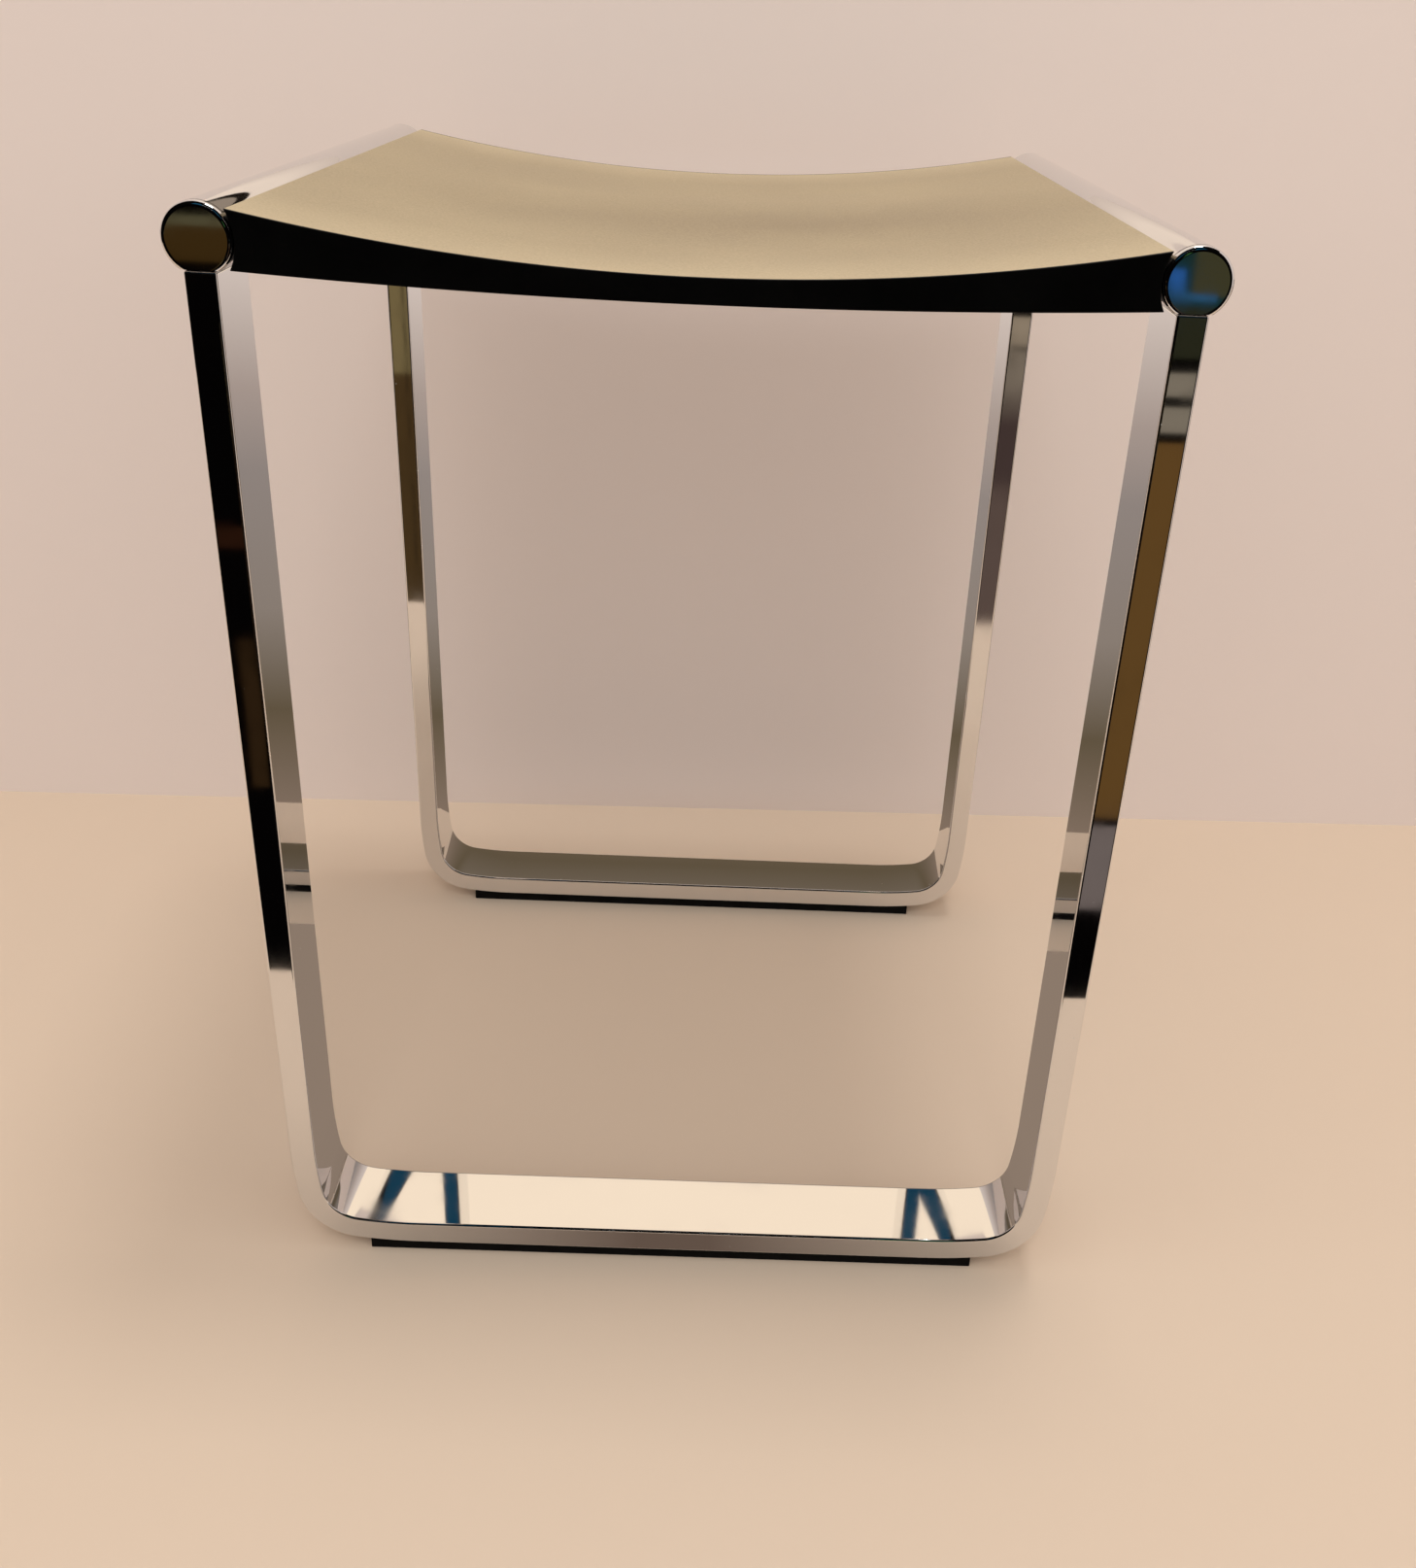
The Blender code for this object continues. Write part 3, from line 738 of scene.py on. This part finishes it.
def stand_card(name, across, upwards, depth, tones, strength=1.0):
    """A card parallel to the wall, between two places across and two heights."""
    middle = Vector((sum(across) / 2, depth, sum(upwards) / 2)) * MM
    add_card(name, (across[1] - across[0]) * MM, (upwards[1] - upwards[0]) * MM,
             Matrix.Translation(middle) @ upright, tones, strength)


def lay_card(name, across, depths, height, tones, fade=0.0):
    """A level card, between two places across and two depths."""
    middle = Vector((sum(across) / 2, sum(depths) / 2, height)) * MM
    add_card(name, (across[1] - across[0]) * MM, (depths[1] - depths[0]) * MM,
             Matrix.Translation(middle), tones, fade=fade)


def side_card(name, across, depths, tones):
    """A card at one side of the room, between two depths, that reaches as far below the floor as above."""
    middle = Vector((across, sum(depths) / 2, 0)) * MM
    add_card(name, 2 * ROOM_HEIGHT * MM, (depths[1] - depths[0]) * MM,
             Matrix.Translation(middle) @ Matrix.Rotation(math.pi / 2, 4, "Y"), tones)


def leg_bands(name, across, *bands):
    """What one leg's front face shows, as pieces of a band on the far side of the room."""
    for number, (low, high, tones) in enumerate(bands):
        stand_card(f"{name}_band_{number}", across, (low, high), ROOM_FRONT + 4 * CARD_STEP, tones)


stand_card("dark_room", ROOM_ACROSS, (ROOM_FOOT, ROOM_HEIGHT), ROOM_FRONT, DARK_ROOM_TONE)
lay_card("dark_ceiling", ROOM_ACROSS, (ROOM_FRONT, ROOM_BACK), ROOM_HEIGHT, DARK_ABOVE_TONE)
side_card("dark_left_side", -ROOM_SIDE, (ROOM_FRONT, ROOM_BACK), DARK_ROOM_TONE)
side_card("dark_right_side", ROOM_SIDE, (ROOM_FRONT, RIGHT_SIDE_BACK), DARK_ROOM_TONE)
stand_card("dark_left_wall", (-1300, -250), (-300, 400), WALL_CARD_DEPTH, DARK_WALL_TONE)
stand_card("dark_right_wall", (250, 1300), (-300, 400), WALL_CARD_DEPTH, DARK_WALL_TONE)
stand_card("brown_shelf", (-1500, -820), (44, 108), ROOM_FRONT + CARD_STEP, "#3D2B12")
stand_card("olive_shelf", (-1500, -820), (108, 126), ROOM_FRONT + CARD_STEP, "#565039")
stand_card("teal_corner", (790, 1000), (18, 160), ROOM_FRONT + CARD_STEP, "#16302F")
stand_card("olive_corner", (872, 1000), (60, 160), ROOM_FRONT + 2 * CARD_STEP, "#413E29")
stand_card("blue_window", (826, 857), (50, 106), ROOM_FRONT + 2 * CARD_STEP, "#2A5C9E")
stand_card("blue_sill", (826, 920), (50, 64), ROOM_FRONT + 3 * CARD_STEP, "#2B5679")
stand_card("green_lamp", (380, 520), (660, 1000), ROOM_FRONT + CARD_STEP, "#5FA45B")
leg_bands("left_front_leg", LEFT_FRONT_LEG_SEES, (-510, -465, "#2A160C"))
leg_bands("left_front_leg_streak", (-991, -956), (-1055, -710, "#2F2011"))
leg_bands("left_rear_leg", LEFT_REAR_LEG_SEES, (-280, -60, "#7A6946"), (-900, -280, "#4A371F"))
leg_bands("right_rear_leg", RIGHT_REAR_LEG_SEES,
          (-160, -95, "#9A8974"), (-340, -170, ((0.0, "#483935"), (0.65, "#867868"))),
          (-490, -340, "#483935"), (-900, -490, "#604F47"))
leg_bands("right_front_leg", RIGHT_FRONT_LEG_SEES,
          (-55, 40, "#2A2A1C"), (-125, -82, "#857A6A"), (-195, -145, "#857A6A"), (-1050, -215, "#664925"),
          (-1290, -1070, "#746863"))
leg_bands("left_rear_leg_line", (-737, -731), (-900, -60, DARK_WALL_TONE))
stand_card("dark_overhead", (-1500, 1500), (900, 1900), OVERHEAD_DEPTH - CARD_STEP, DARK_ABOVE_TONE)
stand_card("left_teal_overhead", (-520, -230), (1000, 1700), OVERHEAD_DEPTH, "#18455C")
stand_card("right_teal_overhead", (230, 520), (1000, 1700), OVERHEAD_DEPTH, "#18455C")
stand_card("shaded_wall", (-170, 170), (0, 364), WALL_CARD_DEPTH, (
    (0.0, "#887565"), (0.2, "#685A46"), (0.4, "#93867B"), (0.66, "#9A8E87"), (0.8, "#B3A298"),
    (1.0, "#E0CFC4")))
stand_card("bright_wall_panel", (-220, 220), (364, 432), WALL_CARD_DEPTH, "#FFE9CE", 1.15)
stand_card("bright_rail_panel", (-260, 260), (516, 574), WALL_CARD_DEPTH,
           ((0.0, "#D8C4B5"), (0.6, "#F5E0CD")))
stand_card("dark_wall_edge", (-300, -20), (574, 583), WALL_CARD_DEPTH, DARK_WALL_TONE)
stand_card("dim_wall_panel", (-300, -20), (583, 640), WALL_CARD_DEPTH, "#9A8A7A")
stand_card("bright_upper_wall", (-320, 320), (640, 1300), WALL_CARD_DEPTH, "#FFEFDD")
lay_card("shaded_floor", (-150, 150), (-130, 100), FLOOR_CARD_HEIGHT, "#968373")
lay_card("shaded_front_floor", (-165, 165), (-205, -172), FLOOR_CARD_HEIGHT, "#6C5A4E", fade=0.45)


# Light
# A soft lamp high over the stool casts the shadow under it, a weaker one in front lightens that shadow,
# and an even pale surround fills the rest.
LAMP_AIM = Vector((0, 0.1, 0.2))
LAMP_WIDTH = 0.5
HIGH_LAMP_PLACE = Vector((0.3, 0.15, 2.3))
HIGH_LAMP_POWER = 14
FRONT_LAMP_PLACE = Vector((0, -1.3, 1.7))
FRONT_LAMP_POWER = 5
SURROUND_COLOUR = "#FFFFFF"
SURROUND_LIGHT = 0.85


def add_lamp(name, place, power):
    """A square soft lamp that looks at the stool."""
    lamp = bpy.data.lights.new(name, "AREA")
    lamp.shape = "SQUARE"
    lamp.size = LAMP_WIDTH
    lamp.energy = power
    holder = bpy.data.objects.new(name, lamp)
    holder.location = place
    holder.rotation_euler = (LAMP_AIM - place).to_track_quat("-Z", "Y").to_euler()
    bpy.context.scene.collection.objects.link(holder)


add_lamp("high_lamp", HIGH_LAMP_PLACE, HIGH_LAMP_POWER)
add_lamp("front_lamp", FRONT_LAMP_PLACE, FRONT_LAMP_POWER)

world = bpy.data.worlds.new("pale_surround")
world.use_nodes = True
tree = world.node_tree
fill = tree.nodes["Background"]
fill.inputs["Color"].default_value = linear(SURROUND_COLOUR)
fill.inputs["Strength"].default_value = SURROUND_LIGHT
backdrop = add_node(tree, "ShaderNodeBackground", {"Color": linear(WALL_COLOUR), "Strength": 1.0})
ray = add_node(tree, "ShaderNodeLightPath")
seen = add_node(tree, "ShaderNodeMath", {
    0: ray.outputs["Is Camera Ray"], 1: ray.outputs["Is Glossy Ray"]}, operation="ADD")
seen_through = add_node(tree, "ShaderNodeMath", {
    0: seen.outputs["Value"], 1: ray.outputs["Is Transmission Ray"]}, operation="ADD", use_clamp=True)
choice = add_node(tree, "ShaderNodeMixShader", {
    0: seen_through.outputs["Value"], 1: fill.outputs["Background"], 2: backdrop.outputs["Background"]})
tree.links.new(choice.outputs["Shader"], tree.nodes["World Output"].inputs["Surface"])
bpy.context.scene.world = world
bpy.context.scene.view_settings.view_transform = "Standard"


# Camera
# The photograph was taken about 0.7 m in front of the stool, from a little above the seat, looking
# down. Its place and turn were fitted to the stool's straight edges.
IMAGE_WIDTH = 1458
IMAGE_HEIGHT = 1614
CAMERA_PLACE = Vector((10.6, -689.7, 516.5)) * MM
CAMERA_YAW = math.radians(1.164)
CAMERA_PITCH = math.radians(27.283)
CAMERA_ROLL = math.radians(2.733)
FOCAL_PIXELS = 1560.25
MIDDLE_PIXEL = (762.10, 806.25)

forward = Vector((math.sin(CAMERA_YAW) * math.cos(CAMERA_PITCH),
                  math.cos(CAMERA_YAW) * math.cos(CAMERA_PITCH), -math.sin(CAMERA_PITCH)))
level = Vector((math.cos(CAMERA_YAW), -math.sin(CAMERA_YAW), 0))
above = level.cross(forward)
right = level * math.cos(CAMERA_ROLL) + above * math.sin(CAMERA_ROLL)
up = above * math.cos(CAMERA_ROLL) - level * math.sin(CAMERA_ROLL)
camera = bpy.data.cameras.new("camera")
camera.lens = FOCAL_PIXELS / IMAGE_HEIGHT * camera.sensor_width
camera.shift_x = (IMAGE_WIDTH / 2 - MIDDLE_PIXEL[0]) / IMAGE_HEIGHT
camera.shift_y = (MIDDLE_PIXEL[1] - IMAGE_HEIGHT / 2) / IMAGE_HEIGHT
camera_holder = bpy.data.objects.new("camera", camera)
turn = Matrix((right, up, -forward)).transposed()
camera_holder.matrix_world = Matrix.Translation(CAMERA_PLACE) @ turn.to_4x4()
bpy.context.scene.collection.objects.link(camera_holder)
bpy.context.scene.camera = camera_holder
